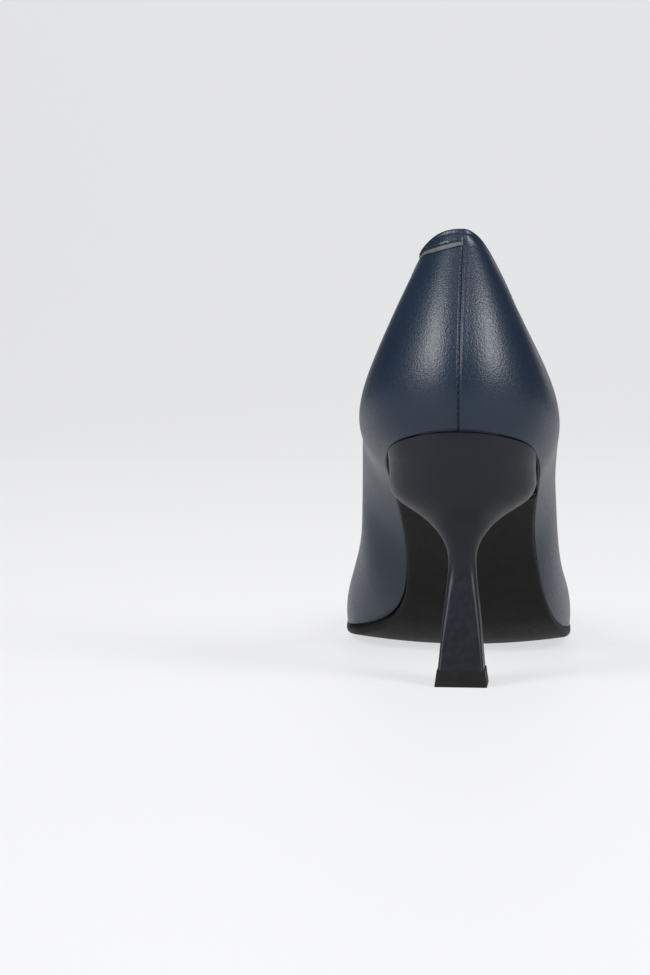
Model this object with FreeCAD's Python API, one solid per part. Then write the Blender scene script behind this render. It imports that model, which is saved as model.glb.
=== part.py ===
import FreeCAD, Part
import math
import os
from FreeCAD import Vector

# A right-foot high heel pump. The heel points to +Y, the toe to -Y, the outer side to -X.
# It is drawn about the middle of its top-lift, and moved at the end so that the box of
# the whole shoe is centred on the origin. Millimetres.

# Driving sizes
shoe_length = 231.2         # heel bulge to toe tip, along the ground
forepart_breadth = 79.0     # across the ball
seat_breadth = 45.2         # across the heel seat
heel_height = 78.5          # ground to the back of the heel seat
back_height = 59.4          # heel seat to the peak of the topline
stem_breadth = 8.4          # heel at its waist, side to side
stem_depth = 7.5            # heel at its waist, front to back
lift_breadth = 16.0
lift_depth = 14.9
lift_thickness = 5.0

# Layers of the upper, from outside to inside
leather = 1.0
stiffener = 0.6
lining = 0.7
leather_margin = 12.0       # lasting margins, turned in under the insole
stiffener_margin = 8.0
lining_margin = 9.0
tape_share = 0.13           # part of the wall height that the topline tape takes
seam_gap = 0.2              # between the two back edges of a layer
strip_thickness = 0.4

# Bottom pieces
sole_ball = 3.2
sole_waist = 2.0
insole = 2.0
foam = 1.8
sock = 0.8
shank_breadth = 10.0
shank_thickness = 1.6
rivet_diameter = 3.0
nail_diameter = 2.0
nail_length = 16.0
nail_circle = 16.0
nail_count = 5
screw_diameter = 3.6
screw_length = 22.0
tube_diameter = 4.0
dowel_diameter = 2.6
fit = 0.3                   # clearance between soft pieces
touch = 0.05                # clearance between glued pieces

# The last that the curves are drawn on; the driving sizes grade it up and down.
DRAWN_LENGTH = 231.2
DRAWN_BREADTH = 79.0
DRAWN_SEAT = 45.2
DRAWN_HEEL = 78.5
DRAWN_BACK = 59.4
grade_y = shoe_length / DRAWN_LENGTH
grade_z = heel_height / DRAWN_HEEL
grade_back = back_height / DRAWN_BACK
HEEL_BACK = 25.5
TOE_TIP = -203.0


def smooth(points):
    """A smooth curve through (x, value) points, held level past its ends."""
    points = sorted(points)
    xs = [p[0] for p in points]
    ys = [p[1] for p in points]
    steps = [(ys[i + 1] - ys[i]) / (xs[i + 1] - xs[i]) for i in range(len(xs) - 1)]
    slopes = [steps[0]]
    for before, after in zip(steps, steps[1:]):
        slopes.append(0.0 if before * after <= 0 else 2 * before * after / (before + after))
    slopes.append(steps[-1])

    def value(x):
        if x <= xs[0]:
            return ys[0]
        if x >= xs[-1]:
            return ys[-1]
        i = max(k for k in range(len(xs) - 1) if xs[k] <= x)
        h = xs[i + 1] - xs[i]
        t = (x - xs[i]) / h
        return (ys[i] * (1 + 2 * t) * (1 - t) ** 2 + slopes[i] * h * t * (1 - t) ** 2
                + ys[i + 1] * t * t * (3 - 2 * t) + slopes[i + 1] * h * t * t * (t - 1))
    return value


def blend(a, b, t):
    return a + (b - a) * max(0.0, min(1.0, t))


def grade_x(y):
    """Breadth grade: the seat's at the heel, the ball's at the forepart."""
    seat = seat_breadth / DRAWN_SEAT
    ball = forepart_breadth / DRAWN_BREADTH
    return blend(seat, ball, (-20.0 - y) / 80.0)


# Feather edge, where the upper turns under: half-breadths each side of the heel's axis
OUTER_FEATHER = smooth([(25.5, 0), (24, 7.5), (19, 15.2), (10, 20.6), (-3, 23.4), (-14, 23.4), (-25, 22.7),
                        (-38, 21.6), (-50, 21.4), (-62, 22.7), (-74, 25.6), (-86, 28.8), (-98, 31.2),
                        (-112, 32.0), (-130, 30.4), (-150, 25.4), (-170, 18.0), (-186, 9.8), (-197, 1.6),
                        (-203, -8.5)])
INNER_FEATHER = smooth([(25.5, 0), (24, 7.5), (19, 15.2), (10, 20.6), (-3, 23.6), (-14, 23.6), (-25, 22.6),
                        (-38, 21.2), (-50, 20.4), (-62, 21.0), (-74, 25.0), (-86, 35.5), (-98, 42.4),
                        (-112, 45.6), (-130, 45.8), (-150, 42.6), (-170, 36.4), (-186, 28.4), (-197, 19.4),
                        (-203, 8.5)])
# Underside of the upper: heights along the middle, and along the feather edge
SPINE = smooth([(36, 82), (25.5, 78.5), (16, 74.2), (0, 67), (-14, 60.8), (-25, 55.6), (-38, 46), (-50, 35),
                (-60, 24.2), (-68, 15.4), (-76, 9.2), (-86, 5.2), (-98, 3.4), (-115, 3.0), (-150, 3.0),
                (-175, 3.6), (-203, 5.6), (-216, 7.0)])
EDGE = smooth([(36, 82), (25.5, 78.5), (16, 75.4), (0, 68.6), (-14, 62.4), (-25, 57.3), (-38, 48),
               (-50, 38.3), (-60, 28), (-68, 19.2), (-76, 13), (-86, 8.6), (-98, 6.2), (-115, 5.1), (-150, 4.9),
               (-175, 5.4), (-203, 7.0), (-216, 8.2)])
CENTRE = smooth([(36, 0), (-20, 0), (-60, -0.5), (-80, 2), (-98, 5.6), (-130, 7.8), (-170, 9.4), (-216, 8.8)])
CROWN = smooth([(36, 23), (-25, 22.6), (-60, 21.6), (-80, 29), (-98, 36.8), (-130, 38), (-216, 38)])
# Topline, by distance from the peak: heights and half-breadths
TOP_HEIGHT = smooth([(5.4, 137.9), (4.2, 136.9), (0, 132.6), (-7, 125.1), (-14, 117.2), (-27, 102.2),
                     (-40, 88), (-53, 74), (-66, 60), (-78, 48.4), (-90, 40.0), (-102, 35.4), (-114, 33.6),
                     (-127, 34.2)])
OUTER_TOP = smooth([(5.4, 0), (4.4, 3.6), (0, 7.3), (-7, 11.2), (-14, 14.6), (-27, 18.8), (-40, 21.6),
                    (-53, 23.6), (-66, 24.6), (-78, 24.6), (-90, 23.0), (-102, 19.4), (-114, 12.6), (-122, 4.6),
                    (-127, -6.5)])
INNER_TOP = smooth([(5.4, 0), (4.4, 5.4), (0, 11.2), (-7, 15.8), (-14, 19.2), (-27, 23.4), (-40, 26),
                    (-53, 27.6), (-66, 28.6), (-78, 28.8), (-90, 27.8), (-102, 25.4), (-114, 20.8), (-122, 15.4),
                    (-127, 6.5)])
# Each rib of the wall runs from a feather place to a topline place, heel to toe
RIBS = [(24.2, 4.4), (16, 0.5), (4, -6), (-9, -15), (-23, -26), (-37, -37), (-51, -48), (-65, -59),
        (-79, -70), (-94, -81), (-112, -92), (-132, -103), (-153, -112.5), (-174, -119.5), (-191, -124.2),
        (-200.5, -126.3)]
# How a rib leaves the feather edge and reaches the topline: (outward, upward) pulls
OUTER_LOW = [smooth([(25.5, 5.8), (-5, 12.2), (-25, 9.5), (-50, 7.9), (-75, 3.4), (-100, 1.4),
                     (-203, 2.4)]),
             smooth([(25.5, 14), (-5, 13.6), (-50, 12.4), (-100, 10.1), (-203, 10)])]
OUTER_HIGH = [smooth([(5.4, 24.2), (-10, 13.8), (-25, 13.3), (-50, 6.7), (-80, 4.5), (-105, 15.2),
                      (-127, 46)]),
              smooth([(5.4, 31.7), (-10, 27.6), (-25, 15.7), (-50, 10.9), (-80, 10.4), (-127, 5)])]
INNER_LOW = [smooth([(25.5, 5.8), (-5, 16), (-25, 13.6), (-50, 16.2), (-70, 16.8), (-90, 5.4),
                     (-110, 1.4), (-203, 2.4)]),
             smooth([(25.5, 14), (-5, 11.9), (-50, 9.7), (-100, 8.7), (-203, 10)])]
INNER_HIGH = [smooth([(5.4, 24.2), (-10, 14), (-25, 13.6), (-50, 12.6), (-80, 13.3), (-105, 22.3),
                      (-127, 46)]),
              smooth([(5.4, 31.7), (-10, 28.2), (-25, 18.6), (-50, 13.3), (-80, 7.9), (-127, 5)])]


def bottom_height(x, y):
    """Height of the underside of the upper at a drawn place."""
    across = (x - CENTRE(y)) / CROWN(y)
    return SPINE(y) + (EDGE(y) - SPINE(y)) * min(1.3, across * across)


def placed(x, y, z):
    """A drawn point, graded to the driving sizes."""
    seat = bottom_height(x, y)
    rise = (z - seat) * grade_back
    return Vector(x * grade_x(y), y * grade_y, seat * grade_z + rise)


def feather_point(side, y):
    x = -OUTER_FEATHER(y) if side < 0 else INNER_FEATHER(y)
    return Vector(x, y, bottom_height(x, y))


def top_point(side, y):
    x = -OUTER_TOP(y) if side < 0 else INNER_TOP(y)
    return Vector(x, y, TOP_HEIGHT(y))


def station_list():
    """(side, feather y, top y) round the shoe: back, outer side, toe, inner side."""
    outer = [(-1, low, high) for low, high in RIBS]
    inner = [(1, low, high) for low, high in reversed(RIBS)]
    return [(-1, HEEL_BACK, 5.4)] + outer + [(-1, TOE_TIP, -127)] + inner


STATIONS = station_list()
COUNT = len(STATIONS)
FEATHER = [feather_point(s, low) for s, low, high in STATIONS]
TOP = [top_point(s, high) for s, low, high in STATIONS]


def outward(loop, i):
    """Level outward direction of a closed loop at its point i."""
    along = loop[(i + 1) % COUNT] - loop[(i - 1) % COUNT]
    direction = Vector(along.y, -along.x, 0)
    return direction.normalize()


def wall_rows():
    """The four control rows of the outside of the upper, feather edge to topline."""
    rows = [[], [], [], []]
    for i, (side, low, high) in enumerate(STATIONS):
        pull_low = OUTER_LOW if side < 0 else INNER_LOW
        pull_high = OUTER_HIGH if side < 0 else INNER_HIGH
        foot = FEATHER[i]
        head = TOP[i]
        lower = foot + outward(FEATHER, i) * pull_low[0](low) + Vector(0, 0, pull_low[1](low))
        upper = head + outward(TOP, i) * pull_high[0](high) - Vector(0, 0, pull_high[1](high))
        for row, point in zip(rows, (foot, lower, upper, head)):
            row.append(placed(point.x, point.y, point.z))
    return rows


def closed_curve(points):
    curve = Part.BSplineCurve()
    marks = [i / len(points) for i in range(len(points) + 1)]
    curve.interpolate(Points=points, PeriodicFlag=True, Parameters=marks)
    return curve


def skin(rows):
    """A surface that closes round the shoe, through control rows."""
    curves = [closed_curve(row) for row in rows]
    poles = [list(column) for column in zip(*[curve.getPoles() for curve in curves])]
    degree = len(rows) - 1
    surface = Part.BSplineSurface()
    surface.buildFromPolesMultsKnots(poles, curves[0].getMultiplicities(), [degree + 1, degree + 1],
                                     curves[0].getKnots(), [0, 1], True, False, 3, degree)
    return surface


WALL = wall_rows()
WALL_SKIN = skin(WALL)


def bottom_point(x, y, depth):
    """A point of the graded underside, moved depth inwards (up) along its normal."""
    def at(px, py):
        return placed(px, py, bottom_height(px, py))
    here = at(x, y)
    side = at(x + 0.5, y) - at(x - 0.5, y)
    ahead = at(x, y + 0.5) - at(x, y - 0.5)
    return here + side.cross(ahead).normalize() * depth


def bottom_normal(i):
    here = bottom_point(FEATHER[i].x, FEATHER[i].y, 0)
    return (bottom_point(FEATHER[i].x, FEATHER[i].y, 1) - here).normalize()


def inner_rows(depth):
    """The wall's control rows, moved depth inwards."""
    rows = [[], [], [], []]
    for i in range(COUNT):
        u = i / COUNT
        for j in range(4):
            v = j / 3.0
            round_shoe, up_wall = WALL_SKIN.tangent(u, v)
            inward = up_wall.cross(round_shoe).normalize()
            if j == 0:
                up = bottom_normal(i)
                inward = (inward + up) * (1 / (1 + inward.dot(up)))
            rows[j].append(WALL[j][i] + inward * depth)
    return rows


def margin_row(depth, margin):
    """Inner edge of a lasting margin that lies depth above the underside."""
    row = []
    for side, low, high in STATIONS:
        foot = feather_point(side, low)
        target_y = max(-180.0, min(3.0, low))
        target = Vector(CENTRE(target_y), target_y, 0)
        direction = Vector(target.x - foot.x, target.y - foot.y, 0).normalize()
        place = foot + direction * margin
        row.append(bottom_point(place.x, place.y, depth))
    return row


def face_of(surface, u_from, u_to, v_from, v_to):
    piece = surface.copy()
    piece.segment(u_from, u_to, v_from, v_to)
    return piece


def ribbon(first, second):
    """The face ruled between two curves of the same make."""
    surface = Part.BSplineSurface()
    surface.buildFromPolesMultsKnots([first.getPoles(), second.getPoles()], [2, 2], first.getMultiplicities(),
                                     [0, 1], first.getKnots(), False, False, 1, first.Degree)
    return surface.toShape()


def closed_solid(faces):
    shell = Part.makeShell(faces)
    shell.sewShape()
    solid = Part.Solid(shell)
    if solid.Volume < 0:
        solid.reverse()
    return solid


def stretches_of(u_from, u_to):
    """The range in stretches of about four stations each."""
    count = max(1, round((u_to - u_from) * COUNT / 4))
    marks = [u_from + (u_to - u_from) * k / count for k in range(count + 1)]
    return list(zip(marks, marks[1:]))


def wall_piece(outer_depth, inner_depth, u_from, u_to, v_from, v_to, margin=0.0):
    """One layer of the upper between two depths; a margin turns it in under the foot."""
    outer_rows = inner_rows(outer_depth)
    inside_rows = inner_rows(inner_depth)
    sheets = [(skin(outer_rows), skin(inside_rows), v_from, v_to)]
    if margin > 0:
        sheets.append((skin([margin_row(outer_depth, margin), outer_rows[0]]),
                       skin([margin_row(inner_depth, margin), inside_rows[0]]), 0, 1))
    faces = []
    for number, (outer_skin, inner_skin, low, high) in enumerate(sheets):
        for start, end in stretches_of(u_from, u_to):
            lap = 1 if start > 1 - 1e-9 else 0
            outer = face_of(outer_skin, start - lap, end - lap, low, high)
            inner = face_of(inner_skin, start - lap, end - lap, low, high)
            faces += [outer.toShape(), inner.toShape()]
            if number == 0:
                faces.append(ribbon(outer.vIso(high), inner.vIso(high)))
            if number == len(sheets) - 1:
                faces.append(ribbon(outer.vIso(low), inner.vIso(low)))
            if start == u_from:
                faces.append(ribbon(outer.uIso(start - lap), inner.uIso(start - lap)))
            if end == u_to:
                faces.append(ribbon(outer.uIso(end - lap), inner.uIso(end - lap)))
    return closed_solid(faces)


def bottom_sheet(depth):
    """The underside, moved up by depth(y), as one wide sheet."""
    grid = []
    for j in range(52):
        y = 35.0 - j * 4.9
        grid.append([bottom_point(x, y, depth(y)) for x in range(-52, 67, 8)])
    surface = Part.BSplineSurface()
    surface.interpolate(grid)
    return surface.toShape()


def level(depth):
    return lambda y: depth


def plan_outline(height, inset):
    """Plan of the room inside the lining, at a height over the underside."""
    rows = inner_rows(leather + stiffener + lining)
    surface = skin(rows)
    points = []
    for i in range(COUNT):
        u = i / COUNT
        v = 0.0
        foot = surface.value(u, 0)
        while surface.value(u, v).z < foot.z + height and v < 0.5:
            v += 0.01
        point = surface.value(u, v)
        points.append(Vector(point.x, point.y, 0))
    return closed_curve(shrunk(points, inset))


def shrunk(points, inset):
    n = len(points)
    out = []
    for i, point in enumerate(points):
        along = points[(i + 1) % n] - points[(i - 1) % n]
        out.append(point - Vector(along.y, -along.x, 0).normalize() * inset)
    return out


def prism(curve):
    """A tall body on a closed plan outline, its side in a few stretches."""
    stretches = 8
    wire = Part.Wire([curve.toShape(k / stretches, (k + 1) / stretches) for k in range(stretches)])
    return Part.Face(wire).extrude(Vector(0, 0, 400)).translated(Vector(0, 0, -100))


def above(depth):
    return bottom_sheet(depth).extrude(Vector(0, 0, 300))


def between(body, low, high):
    """The part of a body between two sheets over the underside."""
    return body.common(above(low)).cut(above(high))


def single(shape):
    """The one solid of a cut's result, without its wrapping."""
    return max(shape.Solids, key=lambda solid: solid.Volume)


upper_thickness = leather + stiffener + lining
SLIT = seam_gap / 600.0
COUNTER_U = 7.0 / COUNT         # the counter ends at the waist
LINING_U = 9.0 / COUNT          # the quarter lining meets the vamp lining here
PUFF_U = 13.0 / COUNT           # the toe puff starts here
tape_v = 1 - tape_share


def make_upper():
    pieces = {}
    pieces["upper_leather"] = [wall_piece(0, leather, SLIT, 1 - SLIT, 0, 1, leather_margin)]
    mid = leather + stiffener
    gap_u = 0.001
    gap_v = 0.01
    pieces["topline_tape"] = [wall_piece(leather, mid, SLIT, 1 - SLIT, tape_v, 1)]
    pieces["heel_counter"] = [wall_piece(leather, mid, 1 - COUNTER_U, 1 + COUNTER_U, 0, tape_v - gap_v,
                                         stiffener_margin)]
    pieces["toe_puff"] = [wall_piece(leather, mid, PUFF_U, 1 - PUFF_U, 0, tape_v - gap_v, stiffener_margin)]
    pieces["quarter_backing_outer"] = [wall_piece(leather, mid, COUNTER_U + gap_u, PUFF_U - gap_u,
                                                  0.02, tape_v - gap_v)]
    pieces["quarter_backing_inner"] = [wall_piece(leather, mid, 1 - PUFF_U + gap_u, 1 - COUNTER_U - gap_u,
                                                  0.02, tape_v - gap_v)]
    pieces["quarter_lining"] = [wall_piece(mid, upper_thickness, 1 - LINING_U, 1 + LINING_U, 0, 1,
                                           lining_margin)]
    pieces["vamp_lining"] = [wall_piece(mid, upper_thickness, LINING_U + gap_u, 1 - LINING_U - gap_u, 0, 1,
                                        lining_margin)]
    return pieces


def make_back_tab():
    """The turned-over tab at the peak, lapped on the inner side of the back seam."""
    piece = wall_piece(-1.0, -touch, 1 - 2.1 / COUNT, 1 + 0.15 / COUNT, 0.86, 0.995)
    return piece


def back_stitches():
    """Short thread stitches down the back seam, lying on the leather."""
    stitches = []
    pitch = 2.1
    length = 1.5
    surface = skin(inner_rows(-0.12))
    u = 1 - 0.06 / COUNT
    v = 0.09
    walked = 0.0
    last = surface.value(u, v)
    while v < 0.82:
        v += 0.0005
        here = surface.value(u, v)
        walked += (here - last).Length
        last = here
        if walked >= pitch:
            walked = 0.0
            tangent = surface.tangent(u, v)[1].normalize()
            stitch = Part.makeCylinder(0.1, length, here, tangent)
            stitches.append(stitch)
    return stitches


def heel_section(z, front, back, half, front_round, back_round):
    """Level outline of the heel: a rectangle with rounded corners."""
    kink = 0.7071
    corners = [(half, front, 1, -1, front_round), (half, back, 1, 1, back_round),
               (-half, back, -1, 1, back_round), (-half, front, -1, -1, front_round)]
    edges = []
    ends = []
    for k, (x, y, sx, sy, r) in enumerate(corners):
        centre = Vector(x - sx * r, y - sy * r, z)
        on_side = centre + Vector(sx * r, 0, 0)
        on_end = centre + Vector(0, sy * r, 0)
        middle = centre + Vector(sx * r * kink, sy * r * kink, 0)
        first, second = (on_end, on_side) if k % 2 == 0 else (on_side, on_end)
        ends.append((first, middle, second))
    for k in range(4):
        first, middle, second = ends[k]
        following = ends[(k + 1) % 4][0]
        edges.append(Part.Arc(first, middle, second).toShape())
        edges.append(Part.LineSegment(second, following).toShape())
    return Part.Wire(edges)


# Heel outlines from the ground up: height, front, back, half-breadth, corner radii (drawn)
HEEL_OUTLINES = [(4.6, -6.9, 7.4, 7.0, 0.7, 0.9), (9, -6.55, 6.75, 6.65, 0.7, 1.0),
                 (17, -6.0, 5.3, 6.0, 0.75, 1.3), (25, -5.7, 3.8, 5.2, 0.8, 1.7),
                 (32, -5.55, 2.35, 4.5, 0.9, 2.1), (37, -5.6, 1.9, 4.2, 1.0, 2.4),
                 (41, -6.2, 2.7, 4.6, 1.2, 2.9), (45, -7.9, 4.6, 6.3, 1.4, 4.2),
                 (49, -11.4, 7.0, 9.5, 1.6, 6.2), (53, -17.2, 10.4, 14.6, 1.8, 9.8),
                 (57.4, -23.3, 14.2, 20.6, 2.0, 15), (63, -24.6, 18.2, 22.2, 2.0, 18.5),
                 (70, -24.8, 21.8, 22.5, 2.0, 20), (78.5, -24.8, 24.3, 22.6, 2.0, 21),
                 (86, -24.8, 25.6, 22.6, 2.0, 21.5)]
STEM_WAIST = 37.0


def heel_wire(outline):
    z, front, back, half, front_round, back_round = outline
    near_waist = math.exp(-((z - STEM_WAIST) / 9.0) ** 2)
    breadth_grade = blend(seat_breadth / DRAWN_SEAT, stem_breadth / 8.4, near_waist)
    depth_grade = blend(1.0, stem_depth / 7.5, near_waist)
    if z < STEM_WAIST:
        foot = (STEM_WAIST - z) / STEM_WAIST
        breadth_grade = blend(stem_breadth / 8.4, lift_breadth / 16.0, foot)
        depth_grade = blend(stem_depth / 7.5, lift_depth / 14.9, foot)
    else:
        depth_grade *= blend(1.0, grade_y, (z - STEM_WAIST) / 20.0)
    height = z * grade_z if z > HEEL_OUTLINES[0][0] else lift_thickness
    return heel_section(height, front * depth_grade, back * depth_grade, half * breadth_grade,
                        front_round, back_round)


def make_heel():
    loft = Part.makeLoft([heel_wire(outline) for outline in HEEL_OUTLINES], True, False)
    return single(loft.cut(above(level(-touch))))


def tube_axis():
    """Foot and direction of the steel tube in the stem."""
    foot = Vector(0, 0.2, 0)
    head = Vector(0, -1.85 * grade_y, STEM_WAIST * grade_z)
    return foot, (head - foot).normalize()


def rod(diameter, low, high):
    foot, direction = tube_axis()
    return Part.makeCylinder(diameter / 2, high - low, foot + direction * low, direction)


def make_top_lift():
    """The black block under the heel, a little wider at the ground than at the heel."""
    flare = 0.7
    low = heel_section(0, -lift_depth / 2 + 0.25, lift_depth / 2 + 0.25, lift_breadth / 2, 0.6, 0.6)
    high = heel_section(lift_thickness, -lift_depth / 2 + 0.25 + flare * 0.5,
                        lift_depth / 2 + 0.25 - flare * 0.4, lift_breadth / 2 - flare, 0.6, 0.6)
    return Part.makeLoft([low, high], True, True)


def seat_frame(x, y, depth):
    """A drawn place of the seat at a depth, with the seat's inward (upward) direction."""
    here = bottom_point(x, y, depth)
    return here, (bottom_point(x, y, depth + 1) - here).normalize()


def fastener(x, y, top_depth, diameter, length, head_diameter, head):
    """A countersunk nail or screw, driven down into the heel from a depth over the seat."""
    place, up = seat_frame(x, y, top_depth)
    down = up * -1
    cone = Part.makeCone(head_diameter / 2, diameter / 2, head, place, down)
    body = Part.makeCylinder(diameter / 2, length - head, place + down * head, down)
    return cone.fuse(body).removeSplitter()


def make_bottom():
    insole_low = upper_thickness
    insole_high = insole_low + insole
    foam_high = insole_high + foam
    sock_high = foam_high + sock
    insole_body = prism(plan_outline(0.5, fit))
    sock_body = prism(plan_outline(insole + foam, fit))
    board = single(between(insole_body, level(insole_low + touch), level(insole_high)))
    pad_edge = prism(plan_outline(insole, fit + 0.4))
    pad = single(between(pad_edge, level(insole_high + touch), level(foam_high)))
    cover = single(between(sock_body, level(foam_high + touch), level(sock_high)))
    return board, pad, cover


def sole_depth(y):
    return -blend(sole_waist, sole_ball, (-70.0 - y) / 20.0)


def make_outsole():
    points = [Vector(p.x, p.y, 0) for p in WALL[0]]
    body = prism(closed_curve(shrunk(points, -0.4)))
    front = -24.8 * grade_y - 0.3
    ahead = Part.makeBox(400, 400, 400, Vector(-200, front - 400, -100))
    ground = Part.makeBox(400, 600, 200, Vector(-200, -300, -200))
    sole = between(body.common(ahead), sole_depth, level(-touch))
    return single(sole.cut(ground))


def strip(y_from, y_to, half, low, high):
    """A strip along the middle of the shoe, between two depths."""
    ys = [y_from + (y_to - y_from) * k / 8.0 for k in range(9)]
    points = [Vector(CENTRE(y) * grade_x(y) - half, y * grade_y, 0) for y in ys]
    points += [Vector(CENTRE(y) * grade_x(y) + half, y * grade_y, 0) for y in reversed(ys)]
    wire = Part.makePolygon(points + [points[0]])
    body = Part.Face(wire).extrude(Vector(0, 0, 400)).translated(Vector(0, 0, -100))
    return single(between(body, level(low), level(high)))


def make_shank_and_filler():
    shank = strip(14, -78, shank_breadth / 2, touch, touch + shank_thickness)
    margin = [Vector(p.x, p.y, 0) for p in margin_row(0, leather_margin)]
    filler_body = prism(closed_curve(shrunk(margin, 0.6)))
    forward = Part.makeBox(400, 400, 400, Vector(-200, -80.0 * grade_y - 400, -100))
    filler = single(between(filler_body.common(forward), level(touch), level(upper_thickness - touch)))
    return shank, filler


def make_lining_strip():
    """A narrow strip down the inside of the back, over the lining's seam."""
    near = upper_thickness + touch
    return wall_piece(near, near + strip_thickness, 1 - 0.4 / COUNT, 1 + 0.4 / COUNT, 0.16, 0.93)


def build():
    pieces = make_upper()
    board, pad, cover = make_bottom()
    heel = make_heel()
    shank, filler = make_shank_and_filler()
    lift = make_top_lift()
    insole_top = upper_thickness + insole
    nails = []
    for k in range(nail_count):
        angle = math.pi * (0.5 + k) / nail_count
        x = nail_circle / 2 * math.cos(angle)
        y = 1.0 + nail_circle / 2 * math.sin(angle)
        nails.append(fastener(x, y, insole_top - 0.1, nail_diameter, nail_length, 3.6, 1.0))
    screw = fastener(0, -5.0, insole_top - 0.1, screw_diameter, screw_length, 6.4, 1.6)
    rivets = []
    for y in (-38.0, -70.0):
        place, up = seat_frame(CENTRE(y), y, touch)
        shaft = Part.makeCylinder(rivet_diameter / 2, upper_thickness + insole - 0.2, place, up)
        rivets.append(shaft)
    tube_top = 50.0 * grade_z
    tube = rod(tube_diameter, lift_thickness + 0.2, tube_top).cut(rod(dowel_diameter, 0, tube_top + 1))
    dowel = rod(dowel_diameter, 1.6, 20.0)
    for tool in nails + [screw] + rivets:
        board = board.cut(tool)
        shank = shank.cut(tool)
        heel = heel.cut(tool)
    heel = single(heel.cut(rod(tube_diameter, 0, tube_top)))
    tube = tube.cut(screw)
    pieces.update({
        "back_tab": [make_back_tab()], "lining_back_strip": [make_lining_strip()],
        "back_seam_stitching": back_stitches(),
        "insole_board": [single(board)], "foam_pad": [pad], "sock_lining": [cover],
        "shank": [single(shank)], "shank_rivets": rivets, "bottom_filler": [filler],
        "outsole": [make_outsole()], "heel": [heel], "heel_tube": [single(tube)],
        "heel_nails": nails, "heel_screw": [screw],
        "top_lift": [single(lift.cut(dowel))], "top_lift_dowel": [dowel]})
    return pieces


def write(pieces):
    os.makedirs("parts", exist_ok=True)
    box = FreeCAD.BoundBox()
    for solids in pieces.values():
        for solid in solids:
            box.add(solid.optimalBoundingBox(False))
    shift = Vector(-box.Center.x, -box.Center.y, -box.ZMin)
    for name, solids in pieces.items():
        moved = [solid.translated(shift) for solid in solids]
        shape = moved[0] if len(moved) == 1 else Part.makeCompound(moved)
        shape.exportStep("parts/" + name + ".step")
        print(name, len(solids), round(sum(s.Volume for s in solids), 1),
              all(s.isValid() for s in solids))
    print("size", box.XLength, box.YLength, box.ZLength, "shift", shift)


write(build())
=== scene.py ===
import math

import bpy
import numpy as np
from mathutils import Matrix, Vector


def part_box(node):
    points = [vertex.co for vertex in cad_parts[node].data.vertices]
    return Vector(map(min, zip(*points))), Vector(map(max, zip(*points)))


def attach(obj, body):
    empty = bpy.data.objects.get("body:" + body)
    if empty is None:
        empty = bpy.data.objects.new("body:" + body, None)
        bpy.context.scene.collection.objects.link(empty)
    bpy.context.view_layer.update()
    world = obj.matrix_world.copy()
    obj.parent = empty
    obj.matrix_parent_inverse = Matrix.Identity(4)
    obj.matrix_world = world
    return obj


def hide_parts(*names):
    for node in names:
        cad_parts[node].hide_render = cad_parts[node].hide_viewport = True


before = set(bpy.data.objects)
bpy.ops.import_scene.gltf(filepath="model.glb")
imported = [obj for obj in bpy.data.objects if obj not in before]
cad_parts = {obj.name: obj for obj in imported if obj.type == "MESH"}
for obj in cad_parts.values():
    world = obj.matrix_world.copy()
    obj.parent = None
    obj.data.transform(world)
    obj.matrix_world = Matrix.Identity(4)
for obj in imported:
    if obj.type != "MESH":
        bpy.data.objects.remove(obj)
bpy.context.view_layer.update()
MM = 0.001

# ---------------------------------------------------------------- the last, as in the CAD
# Millimetres from the middle of the heel's foot, toe to -Y, outer side to -X. The feather edges are up to
# 0.5 mm narrower than the CAD's beside the heel.
OUTER_FEATHER = [(25.5, 0), (24, 7.5), (19, 15.2), (10, 20.5), (-3, 23.1), (-14, 23.0), (-25, 22.2),
                 (-38, 21.1), (-50, 21.1), (-62, 22.7), (-74, 25.6), (-86, 28.8), (-98, 31.2), (-112, 32.0),
                 (-130, 30.4), (-150, 25.4), (-170, 18.0), (-186, 9.8), (-197, 1.6), (-203, -8.5)]
INNER_FEATHER = [(25.5, 0), (24, 7.5), (19, 15.2), (10, 20.5), (-3, 23.2), (-14, 23.1), (-25, 22.1),
                 (-38, 20.9), (-50, 20.3), (-62, 21.0), (-74, 25.0), (-86, 35.5), (-98, 42.4), (-112, 45.6),
                 (-130, 45.8), (-150, 42.6), (-170, 36.4), (-186, 28.4), (-197, 19.4), (-203, 8.5)]
SPINE = [(36, 82), (25.5, 78.5), (16, 74.2), (0, 67), (-14, 60.8), (-25, 55.6), (-38, 46), (-50, 35),
         (-60, 24.2), (-68, 15.4), (-76, 9.2), (-86, 5.2), (-98, 3.4), (-115, 3.0), (-150, 3.0),
         (-175, 3.6), (-203, 5.6), (-216, 7.0)]
EDGE = [(36, 82), (25.5, 78.5), (16, 75.4), (0, 68.6), (-14, 62.4), (-25, 57.3), (-38, 48), (-50, 38.3),
        (-60, 28), (-68, 19.2), (-76, 13), (-86, 8.6), (-98, 6.2), (-115, 5.1), (-150, 4.9),
        (-175, 5.4), (-203, 7.0), (-216, 8.2)]
CENTRE = [(36, 0), (-20, 0), (-60, -0.5), (-80, 2), (-98, 5.6), (-130, 7.8), (-170, 9.4), (-216, 8.8)]
CROWN = [(36, 23), (-25, 22.6), (-60, 21.6), (-80, 29), (-98, 36.8), (-130, 38), (-216, 38)]
TOP_HEIGHT = [(5.4, 137.9), (4.2, 136.9), (0, 132.6), (-7, 125.1), (-14, 117.2), (-27, 102.2), (-40, 88),
              (-53, 74), (-66, 60), (-78, 48.4), (-90, 40.0), (-102, 35.4), (-114, 33.6), (-127, 34.2)]
OUTER_TOP = [(5.4, 0), (4.4, 3.6), (0, 7.3), (-7, 11.2), (-14, 14.6), (-27, 18.8), (-40, 21.6),
             (-53, 23.6), (-66, 24.6), (-78, 24.6), (-90, 23.0), (-102, 19.4), (-114, 12.6), (-122, 4.6),
             (-127, -6.5)]
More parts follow.
